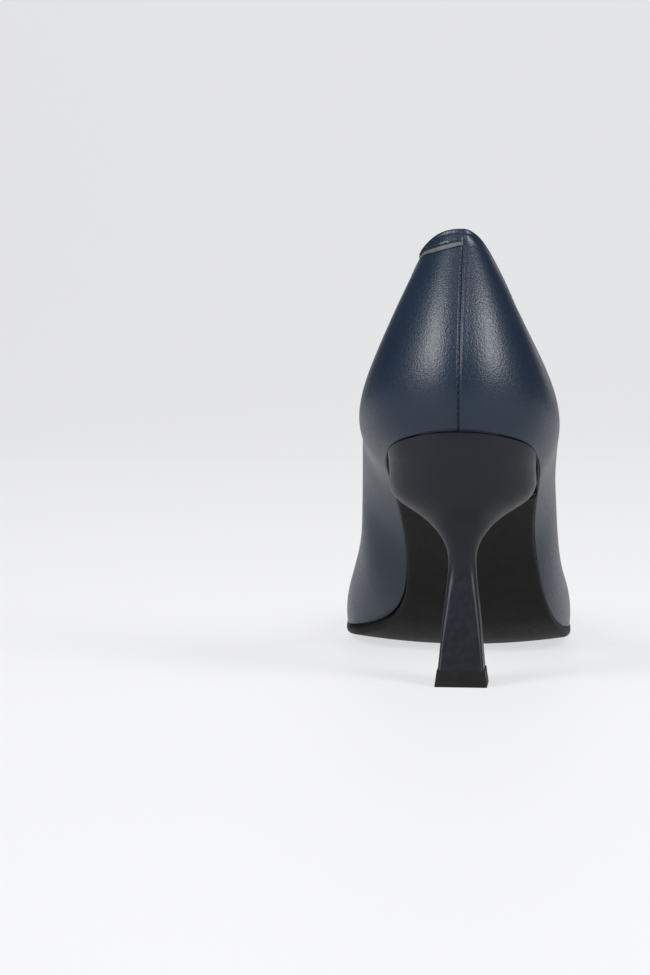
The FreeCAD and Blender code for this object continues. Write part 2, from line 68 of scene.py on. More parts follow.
INNER_TOP = [(5.4, 0), (4.4, 5.4), (0, 11.2), (-7, 15.8), (-14, 19.2), (-27, 23.4), (-40, 26),
             (-53, 27.6), (-66, 28.6), (-78, 28.8), (-90, 27.8), (-102, 25.4), (-114, 20.8), (-122, 15.4),
             (-127, 6.5)]
RIBS = [(24.2, 4.4), (16, 0.5), (4, -6), (-9, -15), (-23, -26), (-37, -37), (-51, -48), (-65, -59),
        (-79, -70), (-94, -81), (-112, -92), (-132, -103), (-153, -112.5), (-174, -119.5), (-191, -124.2),
        (-200.5, -126.3)]
# for each side, how far the wall is pulled outward and then up (LOW) or down (HIGH) from its edges
OUTER_LOW = [[(25.5, 5.8), (-5, 12.2), (-25, 9.5), (-50, 7.9), (-75, 3.4), (-100, 1.4), (-203, 2.4)],
             [(25.5, 14), (-5, 13.6), (-50, 12.4), (-100, 10.1), (-203, 10)]]
OUTER_HIGH = [[(5.4, 24.2), (-10, 13.8), (-25, 13.3), (-50, 6.7), (-80, 4.5), (-105, 15.2), (-127, 46)],
              [(5.4, 31.7), (-10, 27.6), (-25, 15.7), (-50, 10.9), (-80, 10.4), (-127, 5)]]
INNER_LOW = [[(25.5, 5.8), (-5, 16), (-25, 13.6), (-50, 16.2), (-70, 16.8), (-90, 5.4), (-110, 1.4),
              (-203, 2.4)],
             [(25.5, 14), (-5, 11.9), (-50, 9.7), (-100, 8.7), (-203, 10)]]
INNER_HIGH = [[(5.4, 24.2), (-10, 14), (-25, 13.6), (-50, 12.6), (-80, 13.3), (-105, 22.3), (-127, 46)],
              [(5.4, 31.7), (-10, 28.2), (-25, 18.6), (-50, 13.3), (-80, 7.9), (-127, 5)]]
HEEL_BACK = 25.5
PEAK_Y = 5.4                    # the top of the back seam
TOE_TIP = -203.0
THROAT_Y = -127.0               # the middle of the throat
TOE_ROUNDING = 2.0              # how far the ribs beside the toe's tip move out
THROAT_ROUNDING = 1.2           # and those beside the throat's middle
THROAT_BACK = 0.2               # and the throat's middle itself moves back
SLOPE_STEP = 0.5                # mm, for the slope of the underside
WALL_STEP = 1e-4                # for the slopes of the wall


def smooth(points, x):
    """The CAD's smooth curve through (x, value) points, at an array of places."""
    points = sorted(points)
    xs = np.array([p[0] for p in points], float)
    ys = np.array([p[1] for p in points], float)
    steps = np.diff(ys) / np.diff(xs)
    slopes = np.zeros(len(xs))
    slopes[0] = steps[0]
    slopes[-1] = steps[-1]
    for i in range(1, len(xs) - 1):
        before, after = steps[i - 1], steps[i]
        slopes[i] = 0.0 if before * after <= 0 else 2 * before * after / (before + after)
    x = np.clip(np.asarray(x, float), xs[0], xs[-1])
    i = np.clip(np.searchsorted(xs, x, side="right") - 1, 0, len(xs) - 2)
    h = xs[i + 1] - xs[i]
    t = (x - xs[i]) / h
    return (ys[i] * (1 + 2 * t) * (1 - t) ** 2 + slopes[i] * h * t * (1 - t) ** 2
            + ys[i + 1] * t * t * (3 - 2 * t) + slopes[i + 1] * h * t * t * (t - 1))


def bottom_height(x, y):
    """The underside of the upper, crowned across the shoe."""
    across = (x - smooth(CENTRE, y)) / smooth(CROWN, y)
    return smooth(SPINE, y) + (smooth(EDGE, y) - smooth(SPINE, y)) * np.minimum(1.3, across * across)


def bottom_place(x, y, depth):
    """Points at a depth over the underside of the upper (up is positive)."""
    x = np.asarray(x, float)
    y = np.asarray(y, float)
    dx = (bottom_height(x + SLOPE_STEP, y) - bottom_height(x - SLOPE_STEP, y)) / (2 * SLOPE_STEP)
    dy = (bottom_height(x, y + SLOPE_STEP) - bottom_height(x, y - SLOPE_STEP)) / (2 * SLOPE_STEP)
    normal = np.stack([-dx, -dy, np.ones_like(dx)], -1)
    normal /= np.linalg.norm(normal, axis=-1, keepdims=True)
    here = np.stack([x, y, bottom_height(x, y)], -1)
    return here + normal * np.asarray(depth)[..., None]


def outward(loop):
    """Level directions pointing away from a closed row of points."""
    along = np.roll(loop, -1, 0) - np.roll(loop, 1, 0)
    out = np.stack([along[:, 1], -along[:, 0], 0 * along[:, 0]], -1)
    return out / np.linalg.norm(out, axis=1, keepdims=True)


def wall_rows():
    """Four control rows of the outside of the upper, from feather edge to topline."""
    stations = [(-1, HEEL_BACK, PEAK_Y)] + [(-1, a, b) for a, b in RIBS]
    stations += [(-1, TOE_TIP, THROAT_Y)] + [(1, a, b) for a, b in reversed(RIBS)]
    feather, top, low_pull, high_pull = [], [], [], []
    for side, low, high in stations:
        x = -smooth(OUTER_FEATHER, low) if side < 0 else smooth(INNER_FEATHER, low)
        feather.append([x, low, bottom_height(x, low)])
        x = -smooth(OUTER_TOP, high) if side < 0 else smooth(INNER_TOP, high)
        top.append([x, high, smooth(TOP_HEIGHT, high)])
        near, far = (OUTER_LOW, OUTER_HIGH) if side < 0 else (INNER_LOW, INNER_HIGH)
        low_pull.append([smooth(near[0], low), smooth(near[1], low)])
        high_pull.append([smooth(far[0], high), smooth(far[1], high)])
    feather, top = np.array(feather), np.array(top)
    toe = len(RIBS) + 1                 # the toe's tip and the throat's middle, rounded a little
    feather[toe - 1, 0] -= TOE_ROUNDING
    feather[toe + 1, 0] += TOE_ROUNDING
    top[toe - 1, 0] -= THROAT_ROUNDING
    top[toe + 1, 0] += THROAT_ROUNDING
    top[toe, 1] += THROAT_BACK
    low_pull, high_pull = np.array(low_pull), np.array(high_pull)
    up = np.array([0, 0, 1.0])
    lower = feather + outward(feather) * low_pull[:, :1] + up * low_pull[:, 1:]
    upper = top + outward(top) * high_pull[:, :1] - up * high_pull[:, 1:]
    return [feather, lower, upper, top]


def closed_spline(points, u):
    """A smooth closed curve through evenly numbered points, at places u in 0..1."""
    n = len(points)
    matrix = np.zeros((n, n))
    for i in range(n):
        matrix[i, i] = 4
        matrix[i, (i - 1) % n] += 1
        matrix[i, (i + 1) % n] += 1
    right = 3 * (np.roll(points, -1, 0) - np.roll(points, 1, 0))
    slopes = np.linalg.solve(matrix, right)
    t = (np.asarray(u) % 1.0) * n
    i = np.floor(t).astype(int) % n
    t = (t - np.floor(t))[:, None]
    j = (i + 1) % n
    return (points[i] * (1 + 2 * t) * (1 - t) ** 2 + slopes[i] * t * (1 - t) ** 2
            + points[j] * t * t * (3 - 2 * t) + slopes[j] * t * t * (t - 1))


WALL = wall_rows()


def wall(u, v):
    """Points, outward normals and upward tangents of the upper's outside, on a grid u x v."""
    rows = [closed_spline(row, u) for row in WALL]
    ahead = [closed_spline(row, u + WALL_STEP) for row in WALL]

    def cubic(r, t):
        t = t[..., None]
        return (r[0][:, None] * (1 - t) ** 3 + 3 * r[1][:, None] * t * (1 - t) ** 2
                + 3 * r[2][:, None] * t * t * (1 - t) + r[3][:, None] * t ** 3)

    v = np.broadcast_to(v, (len(u), v.shape[-1]))
    here = cubic(rows, v)
    along = cubic(ahead, v) - here
    up = cubic(rows, v + WALL_STEP) - cubic(rows, v - WALL_STEP)
    normal = np.cross(along, up)
    normal /= np.linalg.norm(normal, axis=-1, keepdims=True)
    up /= np.linalg.norm(up, axis=-1, keepdims=True)
    return here, normal, up


# ---------------------------------------------------------------- placing and mesh helpers
lift_low, lift_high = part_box("top_lift")
LIFT_BACK = 0.25                # mm from the drawing's origin back to the top-lift's middle
HOME = np.array([(lift_low[0] + lift_high[0]) / 2 / MM,
                 (lift_low[1] + lift_high[1]) / 2 / MM - LIFT_BACK, 0.0])


def settle(points):
    """Drawn millimetres to the frame's metres."""
    return (np.asarray(points) + HOME) * MM


def mesh_piece(name, verts, faces, material, replaced=()):
    """A smooth mesh that rides the root, standing in for the CAD nodes it replaces."""
    mesh = bpy.data.meshes.new(name)
    mesh.from_pydata([tuple(p) for p in settle(verts)], [], faces)
    mesh.validate()
    mesh.shade_smooth()
    piece = bpy.data.objects.new(name, mesh)
    bpy.context.scene.collection.objects.link(piece)
    piece.data.materials.append(material)
    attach(piece, "root")
    if replaced:
        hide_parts(*replaced)
    return piece


def grid_faces(rows, columns, wrap_rows=False, wrap_columns=False, flip=False):
    """Four-sided faces over a grid of points, numbered row by row."""
    faces = []
    for i in range(rows if wrap_rows else rows - 1):
        for j in range(columns if wrap_columns else columns - 1):
            a = i * columns + j
            b = i * columns + (j + 1) % columns
            c = ((i + 1) % rows) * columns + (j + 1) % columns
            d = ((i + 1) % rows) * columns + j
            faces.append((a, d, c, b) if flip else (a, b, c, d))
    return faces


# ---------------------------------------------------------------- materials
def new_material(name):
    material = bpy.data.materials.new(name)
    material.use_nodes = True
    tree = material.node_tree
    return material, tree, tree.nodes["Principled BSDF"]


def set_inputs(made, values):
    for key, value in values.items():
        made.inputs[key].default_value = value


def node(tree, kind, values):
    made = tree.nodes.new(kind)
    set_inputs(made, values)
    return made


def object_coords(tree):
    return tree.nodes.new("ShaderNodeTexCoord").outputs["Object"]


def noise(tree, scale, detail):
    made = node(tree, "ShaderNodeTexNoise", {"Scale": scale, "Detail": detail, "Roughness": 0.5})
    tree.links.new(object_coords(tree), made.inputs["Vector"])
    return made.outputs["Fac"]


def cells(tree, scale):
    made = node(tree, "ShaderNodeTexVoronoi", {"Scale": scale})
    tree.links.new(object_coords(tree), made.inputs["Vector"])
    return made.outputs["Distance"]


NOISE_LOW = 0.3                 # the noise mostly lies between these two values
NOISE_HIGH = 0.7


def spread(tree, factor, low, high):
    """Noise spread out from one value to another."""
    made = node(tree, "ShaderNodeMapRange",
                {"From Min": NOISE_LOW, "From Max": NOISE_HIGH, "To Min": low, "To Max": high})
    tree.links.new(factor, made.inputs["Value"])
    return made.outputs["Result"]


def tones(tree, factor, dark, light):
    """Noise turned into a colour between two tones."""
    ramp = tree.nodes.new("ShaderNodeValToRGB")
    low, high = ramp.color_ramp.elements[0], ramp.color_ramp.elements[1]
    low.position, low.color = NOISE_LOW, (*dark, 1)
    high.position, high.color = NOISE_HIGH, (*light, 1)
    tree.links.new(factor, ramp.inputs["Fac"])
    return ramp.outputs["Color"]


def bump(tree, shader, heights):
    """Bumps on a shader from (height output, depth in metres) pairs, stacked."""
    before = None
    for height, depth in heights:
        made = node(tree, "ShaderNodeBump", {"Distance": depth, "Strength": 1.0})
        tree.links.new(height, made.inputs["Height"])
        if before is not None:
            tree.links.new(before, made.inputs["Normal"])
        before = made.outputs["Normal"]
    tree.links.new(before, shader.inputs["Normal"])


def leather_material(name, dark, light, rough, grain):
    """Leather: soft patches of tone, a slow waviness, grain cells and fine pores."""
    material, tree, shader = new_material(name)
    tree.links.new(tones(tree, noise(tree, 60, 4), dark, light), shader.inputs["Base Color"])
    tree.links.new(spread(tree, noise(tree, 900, 3), rough - 0.04, rough + 0.05), shader.inputs["Roughness"])
    set_inputs(shader, {"Specular IOR Level": 0.4})
    bump(tree, shader, [(noise(tree, 150, 2), 0.00004), (cells(tree, 1700), grain),
                        (noise(tree, 3600, 2), grain * 0.6)])
    return material


def plain_material(name, dark, light, rough, patch_scale, bump_scale, depth, metallic=0.0, shine=0.5):
    material, tree, shader = new_material(name)
    tree.links.new(tones(tree, noise(tree, patch_scale, 4), dark, light), shader.inputs["Base Color"])
    tree.links.new(spread(tree, noise(tree, bump_scale * 0.6, 3), rough - 0.05, rough + 0.05),
                   shader.inputs["Roughness"])
    set_inputs(shader, {"Metallic": metallic, "Specular IOR Level": shine})
    bump(tree, shader, [(noise(tree, bump_scale, 3), depth)])
    return material


NAVY = leather_material("navy_leather", (0.0026, 0.0088, 0.0215), (0.0038, 0.012, 0.027), 0.36, 0.00005)
TAB_EDGE = plain_material("raw_leather_edge", (0.05, 0.05, 0.05), (0.1, 0.1, 0.095), 0.8, 400, 3000,
                          0.00002)
LINING = leather_material("lining_leather", (0.42, 0.31, 0.21), (0.5, 0.38, 0.27), 0.6, 0.00001)
SOCK = leather_material("sock_leather", (0.4, 0.29, 0.2), (0.47, 0.35, 0.25), 0.55, 0.00001)
THREAD = plain_material("thread", (0.003, 0.006, 0.018), (0.006, 0.012, 0.03), 0.6, 2500, 6000, 0.00002)
SOLE = plain_material("sole_sheet", (0.003, 0.003, 0.003), (0.0055, 0.0055, 0.0053), 0.55, 120, 1400,
                      0.00002, shine=0.12)
HEEL = plain_material("heel_lacquer", (0.003, 0.0038, 0.0075), (0.0042, 0.0054, 0.0102), 0.42, 40, 800,
                      0.000004, shine=0.3)
LIFT = plain_material("top_lift_rubber", (0.0045, 0.0045, 0.0045), (0.007, 0.007, 0.0068), 0.6, 300,
                      2200, 0.00002, shine=0.15)
STEEL = plain_material("plain_steel", (0.4, 0.4, 0.42), (0.55, 0.55, 0.57), 0.35, 200, 1500, 0.000005, 1.0)
BOARD = plain_material("fibre_board", (0.25, 0.16, 0.09), (0.34, 0.22, 0.13), 0.85, 500, 2500, 0.00003)
CLOTH = plain_material("backing_cloth", (0.5, 0.48, 0.42), (0.6, 0.58, 0.52), 0.9, 800, 4000, 0.00003)
FOAM = plain_material("latex_foam", (0.55, 0.5, 0.36), (0.65, 0.6, 0.45), 0.95, 900, 2800, 0.00005)
CORK = plain_material("cork_filler", (0.16, 0.09, 0.045), (0.34, 0.21, 0.11), 0.9, 700, 1800, 0.00005)


# ---------------------------------------------------------------- the upper
STITCH_IN = 1.7                 # the topline's stitch row, mm down from the edge
FOLD = 0.55                     # radius of the folded edge
FOLD_START = 0.5                # where the fold meets the outside, mm down from the topline
FOLD_TURN = np.linspace(math.pi, 0, 9)[:-1]
ROLL = (0.12, 0.6, 0.55)        # swelling beside the fold: height, place, width


def even_reach(u, reaches):
    """v along each rib at given distances (mm) down from the topline."""
    fine = np.linspace(0, 1, 161)
    points = wall(u, fine[None, :])[0]
    lengths = np.linalg.norm(np.diff(points, axis=1), axis=2)
    from_top = np.concatenate([np.cumsum(lengths[:, ::-1], 1)[:, ::-1], np.zeros((len(u), 1))], 1)
    out = np.empty((len(u), len(reaches)))
    for i in range(len(u)):
        total = from_top[i, 0]
        out[i] = np.interp([-min(reach, total) for reach in reaches], -from_top[i], fine)
    return out


def around(count, near_back):
    """Places round the shoe, close together near the back seam."""
    near = 0.012
    clear = 0.0125
    even = np.linspace(0, 1, count, endpoint=False)
    dense = np.concatenate([np.linspace(0, near, near_back), 1 - np.linspace(near, 0, near_back)[:-1]])
    even = even[(even > clear) & (even < 1 - clear)]
    return np.unique(np.round(np.concatenate([even, dense]), 6)) % 1.0


def seam_distance(points, u):
    """Signed distance (mm) from the back seam round the shoe, positive to the outer side."""
    level = wall(np.array([0.0]), np.linspace(0, 1, 41)[None, :])[0][0]
    z = points[..., 2]
    middle_x = np.interp(z, level[:, 2], level[:, 0])
    middle_y = np.interp(z, level[:, 2], level[:, 1])
    reach = np.hypot(points[..., 0] - middle_x, points[..., 1] - middle_y)
    side = np.where(np.asarray(u)[:, None] < 0.5, 1.0, -1.0)
    return reach * side


def step(x):
    """A smooth step from 0 to 1."""
    x = np.clip(x, 0, 1)
    return x * x * (3 - 2 * x)


def bell(x, height, place, width):
    return height * np.exp(-((x - place) / width) ** 2)


def distance_from_top(points):
    """How far each point of a rib lies from the topline (mm), measured along the rib."""
    gaps = np.linalg.norm(np.diff(points, axis=1), axis=2)
    return FOLD_START + np.concatenate([np.zeros((len(points), 1)), np.cumsum(gaps, 1)], 1)


def relief(points, u, from_top):
    """How far the leather stands out (mm): the back seam's groove and ridge, and stitch rows."""
    s = seam_distance(points, u)
    below_tab = step((from_top - 5.0) / 1.5)
    groove = bell(s, -0.34, 0.0, 0.3)
    ridge = bell(s, 0.34, 0.6, 0.3) + bell(s, 0.10, 1.3, 1.1)
    seam = np.where(np.abs(s) < 8, (groove + ridge) * below_tab, 0.0)
    return seam + bell(from_top, -0.15, STITCH_IN, 0.4) + bell(from_top, *ROLL)


def make_upper():
    """The leather: folded at the topline, turned under at the feather edge."""
    u = around(420, 42)
    reaches = [FOLD_START, 0.65, 0.8, 0.95, 1.1, 1.4, 1.7, 2.0, 2.3, 2.7, 3.2, 4.0, 5.2]
    v_near = even_reach(u, reaches)
    share = np.linspace(0, 1, 46)[1:]
    v_far = v_near[:, -1:] * (1 - share[None, :])
    here, normal, up = wall(u, np.concatenate([v_near, v_far], 1))
    outer = here + normal * relief(here, u, distance_from_top(here))[..., None]
    # the fold over the topline: half a turn, after a short way up the inside
    fold = [outer[:, 0] - normal[:, 0] * FOLD * (1 - math.cos(angle)) + up[:, 0] * FOLD * math.sin(angle)
            for angle in FOLD_TURN]
    inside = [here[:, k] - normal[:, k] * FOLD * 2 for k in (9, 5, 2)]
    # turned under at the feather edge, on to the underside
    radius = 0.5
    raised = 0.4
    under = [outer[:, -1] - normal[:, -1] * radius * (1 - math.cos(angle))
             - up[:, -1] * radius * (math.sin(angle) - raised)
             for angle in np.linspace(0, math.pi / 2, 6)[1:]]
    margin, above = 5.0, 0.25
    inner = here[:, -1] - closed_spline(outward(WALL[0]), u) * margin
    inner_edge = bottom_place(inner[:, 0], inner[:, 1], np.full(len(u), above))
    columns = inside + fold + [outer[:, k] for k in range(outer.shape[1])] + under + [inner_edge]
    verts = np.stack(columns, 1).reshape(-1, 3)
    faces = grid_faces(len(u), len(columns), wrap_rows=True)
    mesh_piece("upper_leather_skin", verts, faces, NAVY, ["upper_leather"])


def make_lining():
    """The lining, front and back pieces, with its edge just under the fold."""
    outer_depth, inner_depth = 1.25, 2.1
    lip_up, lip_out = 0.35, 0.4
    ribs, rows = 260, 30
    parts = [("quarter_lining_skin", -0.265, 0.265, "quarter_lining"),
             ("vamp_lining_skin", 0.2655, 0.7345, "vamp_lining")]
    for name, start, end, node_name in parts:
        u = np.linspace(start, end, ribs)
        share = np.linspace(0, 1, rows)
        v = 0.985 * (1 - share[None, :] ** 1.2) + 0.012
        here, normal, up = wall(u, v)
        outer = here - normal * outer_depth
        inner = here - normal * inner_depth
        lip = inner[:, 0] + up[:, 0] * lip_up + normal[:, 0] * lip_out
        columns = [outer[:, k] for k in reversed(range(rows))] + [lip] + [inner[:, k] for k in range(rows)]
        verts = np.stack(columns, 1).reshape(-1, 3)
        faces = grid_faces(ribs, len(columns), wrap_columns=True)
        faces.append(tuple(reversed(range(len(columns)))))
        faces.append(tuple((ribs - 1) * len(columns) + k for k in range(len(columns))))
        mesh_piece(name, verts, faces, LINING, [node_name])


def side_edges(edge, ys):
    """The outer and inner side of a closed edge, read off at places along the shoe."""
    toe = int(np.argmin(edge[:, 1]))
    outer_side, inner_side = edge[:toe + 1], edge[toe:]
    return (np.interp(-ys, -outer_side[:, 1], outer_side[:, 0]),
            np.interp(ys, inner_side[:, 1], inner_side[:, 0]))


def make_sock():
    """The sock: a thin crowned sheet from wall to wall over the foam."""
    lining_depth = 2.35
    edge_rise = 6.4             # the sock's edge over the feather edge
    height, thickness = 7.1, 0.7
    rows, columns = 260, 44
    u = np.linspace(0, 1, 720, endpoint=False)
    here, normal, _ = wall(u, np.linspace(0, 0.5, 60)[None, :])
    inner = here - normal * lining_depth
    rise = inner[:, :, 2] - here[:, :1, 2]
    edge = np.array([[np.interp(edge_rise, rise[i], inner[i, :, k]) for k in range(3)]
                     for i in range(len(u))])
    lowest, highest = edge[:, 1].min() + 0.02, edge[:, 1].max() - 0.02
    ys = (lowest + highest) / 2 + (highest - lowest) / 2 * np.cos(np.linspace(0, math.pi, rows))
    left, right = side_edges(edge, ys)
    w = np.linspace(-1, 1, columns)
    x = (left + right)[:, None] / 2 + (right - left)[:, None] / 2 * w[None, :]
    y = np.repeat(ys[:, None], columns, 1)
    from_edge = (1 - np.abs(w))[None, :] * (right - left)[:, None] / 2
    lift = height + bell(from_edge, 0.5, 0.0, 1.2) + bell(from_edge, -0.25, 3.0, 0.5)
    top = bottom_place(x, y, lift)
    low = bottom_place(x, y, lift - thickness)
    verts = np.concatenate([top.reshape(-1, 3), low.reshape(-1, 3)])
    n = rows * columns
    faces = grid_faces(rows, columns)
    faces += [tuple(n + k for k in reversed(f)) for f in faces]
    for i in range(rows - 1):
        a, b = i * columns, (i + 1) * columns
        faces.append((b, a, n + a, n + b))
        a, b = a + columns - 1, b + columns - 1
        faces.append((a, b, n + b, n + a))
    for j in range(columns - 1):
        faces.append((j, j + 1, n + j + 1, n + j))
        k = (rows - 1) * columns + j
        faces.append((k + 1, k, n + k, n + k + 1))
    sock = mesh_piece("sock_lining_skin", verts, faces, SOCK, ["sock_lining"])


make_upper()
make_lining()
make_sock()


# ---------------------------------------------------------------- the outsole
def make_outsole():
    """The sole: it follows the upper's underside, thicker in front, its lower edge rounded."""
    rows = 240
    past_feather = 0.3
    highest = -24.0             # where the sole ends under the heel's breast
    edge_round = 1.6
    edge_low, edge_high = 0.35, 0.65
    u = np.linspace(0, 1, 900, endpoint=False)
    edge = closed_spline(WALL[0], u) + closed_spline(outward(WALL[0]), u) * past_feather
    lowest = edge[:, 1].min() + 0.01
    ys = highest + (lowest - highest) * np.sin(np.linspace(0, math.pi / 2, rows))
    left, right = side_edges(edge, ys)
    left = left + 0.4 * np.clip((ys + 75) / 35, 0, 1)
    thick = 2.0 + 1.2 * np.clip((-70 - ys) / 20, 0, 1)
    middle, half = (left + right) / 2, (right - left) / 2
    radius = np.minimum(edge_round, half * 0.9)
    # one ring of (across, inset in radii, share of the thickness) for every row
    across = np.linspace(-1, 1, 41)
    turn = np.linspace(0, math.pi / 2, 7)
    ring = [(w, 0.0, 0.0) for w in across]
    ring += [(1, 1 - math.cos(angle), edge_low + edge_high * math.sin(angle)) for angle in turn[1:]]
    ring += [(w, 1.0, 1.0) for w in across[::-1][1:-1]]
    ring += [(-1, 1 - math.cos(angle), edge_low + edge_high * math.sin(angle)) for angle in turn[:0:-1]]
    points = []
    for w, inset, share in ring:
        x = middle + np.maximum(half - radius * inset, 0.01) * w
        points.append(bottom_place(x, ys, -thick * share))
    verts = np.stack(points, 1)
    verts[..., 2] = np.maximum(verts[..., 2], 0.0)      # nothing goes under the floor
    columns = len(ring)
    faces = grid_faces(rows, columns, wrap_columns=True, flip=True)
    faces.append(tuple(range(columns)))
    faces.append(tuple((rows - 1) * columns + k for k in reversed(range(columns))))
    mesh_piece("outsole_skin", verts.reshape(-1, 3), faces, SOLE, ["outsole"])


make_outsole()


# ---------------------------------------------------------------- stitching
def stitch_row(path, normals, pitch, length, thick):
    """Verts and faces of separate stitches along a path, each a little hump of thread."""
    rings, sides = 7, 8
    sink = 0.05
    gaps = np.linalg.norm(np.diff(path, axis=0), axis=1)
    walked = np.concatenate([[0], np.cumsum(gaps)])
    t = np.linspace(-1, 1, rings)
    lift = thick * 0.75 * (1 - t ** 2) - sink - thick * 0.5 * (np.abs(t) ** 6)
    swell = thick * (0.62 + 0.38 * np.sqrt(np.maximum(0, 1 - t ** 4)))
    verts, faces = [], []
    for k in range(int(walked[-1] / pitch)):
        start = k * pitch + (pitch - length) / 2
        places = start + length * np.linspace(0, 1, rings)
        middle = np.stack([np.interp(places, walked, path[:, c]) for c in range(3)], 1)
        normal = np.stack([np.interp(places, walked, normals[:, c]) for c in range(3)], 1)
        normal /= np.linalg.norm(normal, axis=1, keepdims=True)
        along = middle[-1] - middle[0]
        along /= np.linalg.norm(along)
        across = np.cross(along, normal)
        base = len(verts)
        for r in range(rings):
            for q in range(sides):
                angle = 2 * math.pi * q / sides
                verts.append(middle[r] + normal[r] * (lift[r] + swell[r] * 0.8 * math.sin(angle))
                             + across[r] * swell[r] * math.cos(angle))
        for r in range(rings - 1):
            for q in range(sides):
                a = base + r * sides + q
                b = base + r * sides + (q + 1) % sides
                faces.append((a, b, b + sides, a + sides))
        faces.append(tuple(base + q for q in reversed(range(sides))))
        faces.append(tuple(base + (rings - 1) * sides + q for q in range(sides)))
    return np.array(verts), faces


TAB_END = 0.0665                # how far round the outer side the tab reaches
TAB_THICK = 0.9
TAB_LEAD_IN = 0.03              # the tab thins out to nothing over this far on the inner side


def make_stitching():
    """The row along the topline, which climbs on to the tab, and the back seam's row."""
    u = np.linspace(-TAB_END, 1 - TAB_END, 3000)
    here, normal, _ = wall(u, even_reach(u, [STITCH_IN]))
    over = TAB_THICK * step((TAB_LEAD_IN - u) / TAB_LEAD_IN)[:, None]
    verts, faces = stitch_row(here[:, 0] + normal[:, 0] * (over - 0.06), normal[:, 0], 2.15, 1.75, 0.17)
    mesh_piece("topline_stitching", verts, faces, THREAD)
    here, normal, _ = wall(np.zeros(1), np.linspace(0.012, 0.885, 500)[None, :])
    verts, faces = stitch_row(here[0] - normal[0] * 0.22, normal[0], 2.1, 1.65, 0.2)
    mesh_piece("back_seam_stitches", verts, faces, THREAD, ["back_seam_stitching"])


make_stitching()


# ---------------------------------------------------------------- the back tab
def make_tab():
    """The outer quarter's end, carried over the seam at the peak, with a raw lower edge."""
    rows = 34
    stitch_from_edge = 1.9
    raw_edge = 0.95             # width of the bare leather along the lower edge
    right = np.linspace(0.05, 0.0009, 46)
    left = 1 - np.linspace(0.0, TAB_END, 96)
    u = np.concatenate([right, left])
    travel = np.concatenate([-right, 1 - left])
    over = travel >= 0
    # lower edge: rounded at the seam, deepest a little beyond it, cut away to a corner
    reach = 6.0 + 1.0 * step(travel / 0.02) - 3.0 * step((travel - 0.028) / 0.034)
    reach = np.where(over, reach, 6.0)
    reach = reach * (1 - 0.75 * step((travel - 0.0615) / 0.005))
    share = 1 - (1 - np.linspace(0, 1, rows)) ** 1.6
    v = np.concatenate([even_reach(u[i:i + 1], FOLD_START + share * (reach[i] - FOLD_START))
                        for i in range(len(u))])
    here, normal, up = wall(u, v)
    from_top = distance_from_top(here)
    to_edge = np.maximum(reach[:, None] - from_top, 0)
    full = TAB_THICK * step((travel + TAB_LEAD_IN) / TAB_LEAD_IN)[:, None]
    fade = np.where(over[:, None], 1.0, step(to_edge / 3.5))
    skive = np.where(over[:, None], 0.35 + 0.65 * np.clip(to_edge / 1.0, 0, 1) ** 0.7, 1.0)
    height = full * fade * skive
    row = bell(from_top, -0.17, STITCH_IN, 0.36)
    low_row = bell(to_edge, -0.2, stitch_from_edge, 0.36) * (travel > 0.001)[:, None]
    top = here + normal * (height + row + low_row + bell(from_top, *ROLL) + 0.03)[..., None]
    base = here - normal * 0.1
    half = (FOLD * 2 + height[:, 0]) / 2
    fold = [top[:, 0] - normal[:, 0] * (half * (1 - math.cos(angle)))[:, None]
            + up[:, 0] * (FOLD + height[:, 0] * 0.2)[:, None] * math.sin(angle) for angle in FOLD_TURN]
    columns = fold + [top[:, k] for k in range(rows)] + [base[:, -1], base[:, rows // 2], base[:, 0]]
    verts = np.stack(columns, 1).reshape(-1, 3)
    wide = len(columns)
    faces = grid_faces(len(u), wide, wrap_columns=True)
    faces.append(tuple(reversed(range(wide))))
    faces.append(tuple((len(u) - 1) * wide + k for k in range(wide)))
    piece = mesh_piece("back_tab_skin", verts, faces, NAVY, ["back_tab"])
    # the lower edge on the outer side shows the raw thickness of the leather
    piece.data.materials.append(TAB_EDGE)
    sample = 60                 # a rib a little past the seam
    edge_start = len(fold) + int(np.argmax((reach[sample] - from_top[sample]) < raw_edge))
    for polygon in piece.data.polygons:
        if len(polygon.vertices) != 4:
            continue
        column = min(k % wide for k in polygon.vertices)
        rib = min(k // wide for k in polygon.vertices)
        if rib >= len(right) and edge_start <= column < len(fold) + rows:
            polygon.material_index = 1
    first, last = len(right) + 2, len(u) - 12
    v = np.concatenate([even_reach(u[i:i + 1], [reach[i] - stitch_from_edge]) for i in range(first, last)])
    here, normal, _ = wall(u[first:last], v)
    path = here[:, 0] + normal[:, 0] * (full[first:last] - 0.08)
    verts, faces = stitch_row(path, normal[:, 0], 2.0, 1.6, 0.17)
    mesh_piece("tab_lower_stitches", verts, faces, THREAD)


make_tab()


# ---------------------------------------------------------------- CAD pieces that stay
KEPT = {"heel": HEEL, "top_lift": LIFT, "heel_tube": STEEL, "heel_nails": STEEL, "heel_screw": STEEL,
        "top_lift_dowel": STEEL, "shank": STEEL, "shank_rivets": STEEL, "insole_board": BOARD,
        "heel_counter": BOARD, "toe_puff": BOARD, "topline_tape": CLOTH, "quarter_backing_outer": CLOTH,
        "quarter_backing_inner": CLOTH, "foam_pad": FOAM, "bottom_filler": CORK,
        "lining_back_strip": LINING}
for name, material in KEPT.items():
    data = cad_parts[name].data
    data.materials.clear()
    data.materials.append(material)


# ---------------------------------------------------------------- camera, floor and light
YAW = math.radians(6.0)         # the shoe is turned a little against the view
PITCH = math.radians(3.57)      # looking down
DISTANCE = 750.0                # mm from the heel's foot, along the view
ASIDE = 41.8
EYE_HEIGHT = 107.0
SENSOR = 36.0
FOCAL_SHARE = 2470.0 / 650.0    # the focal length over the picture's width


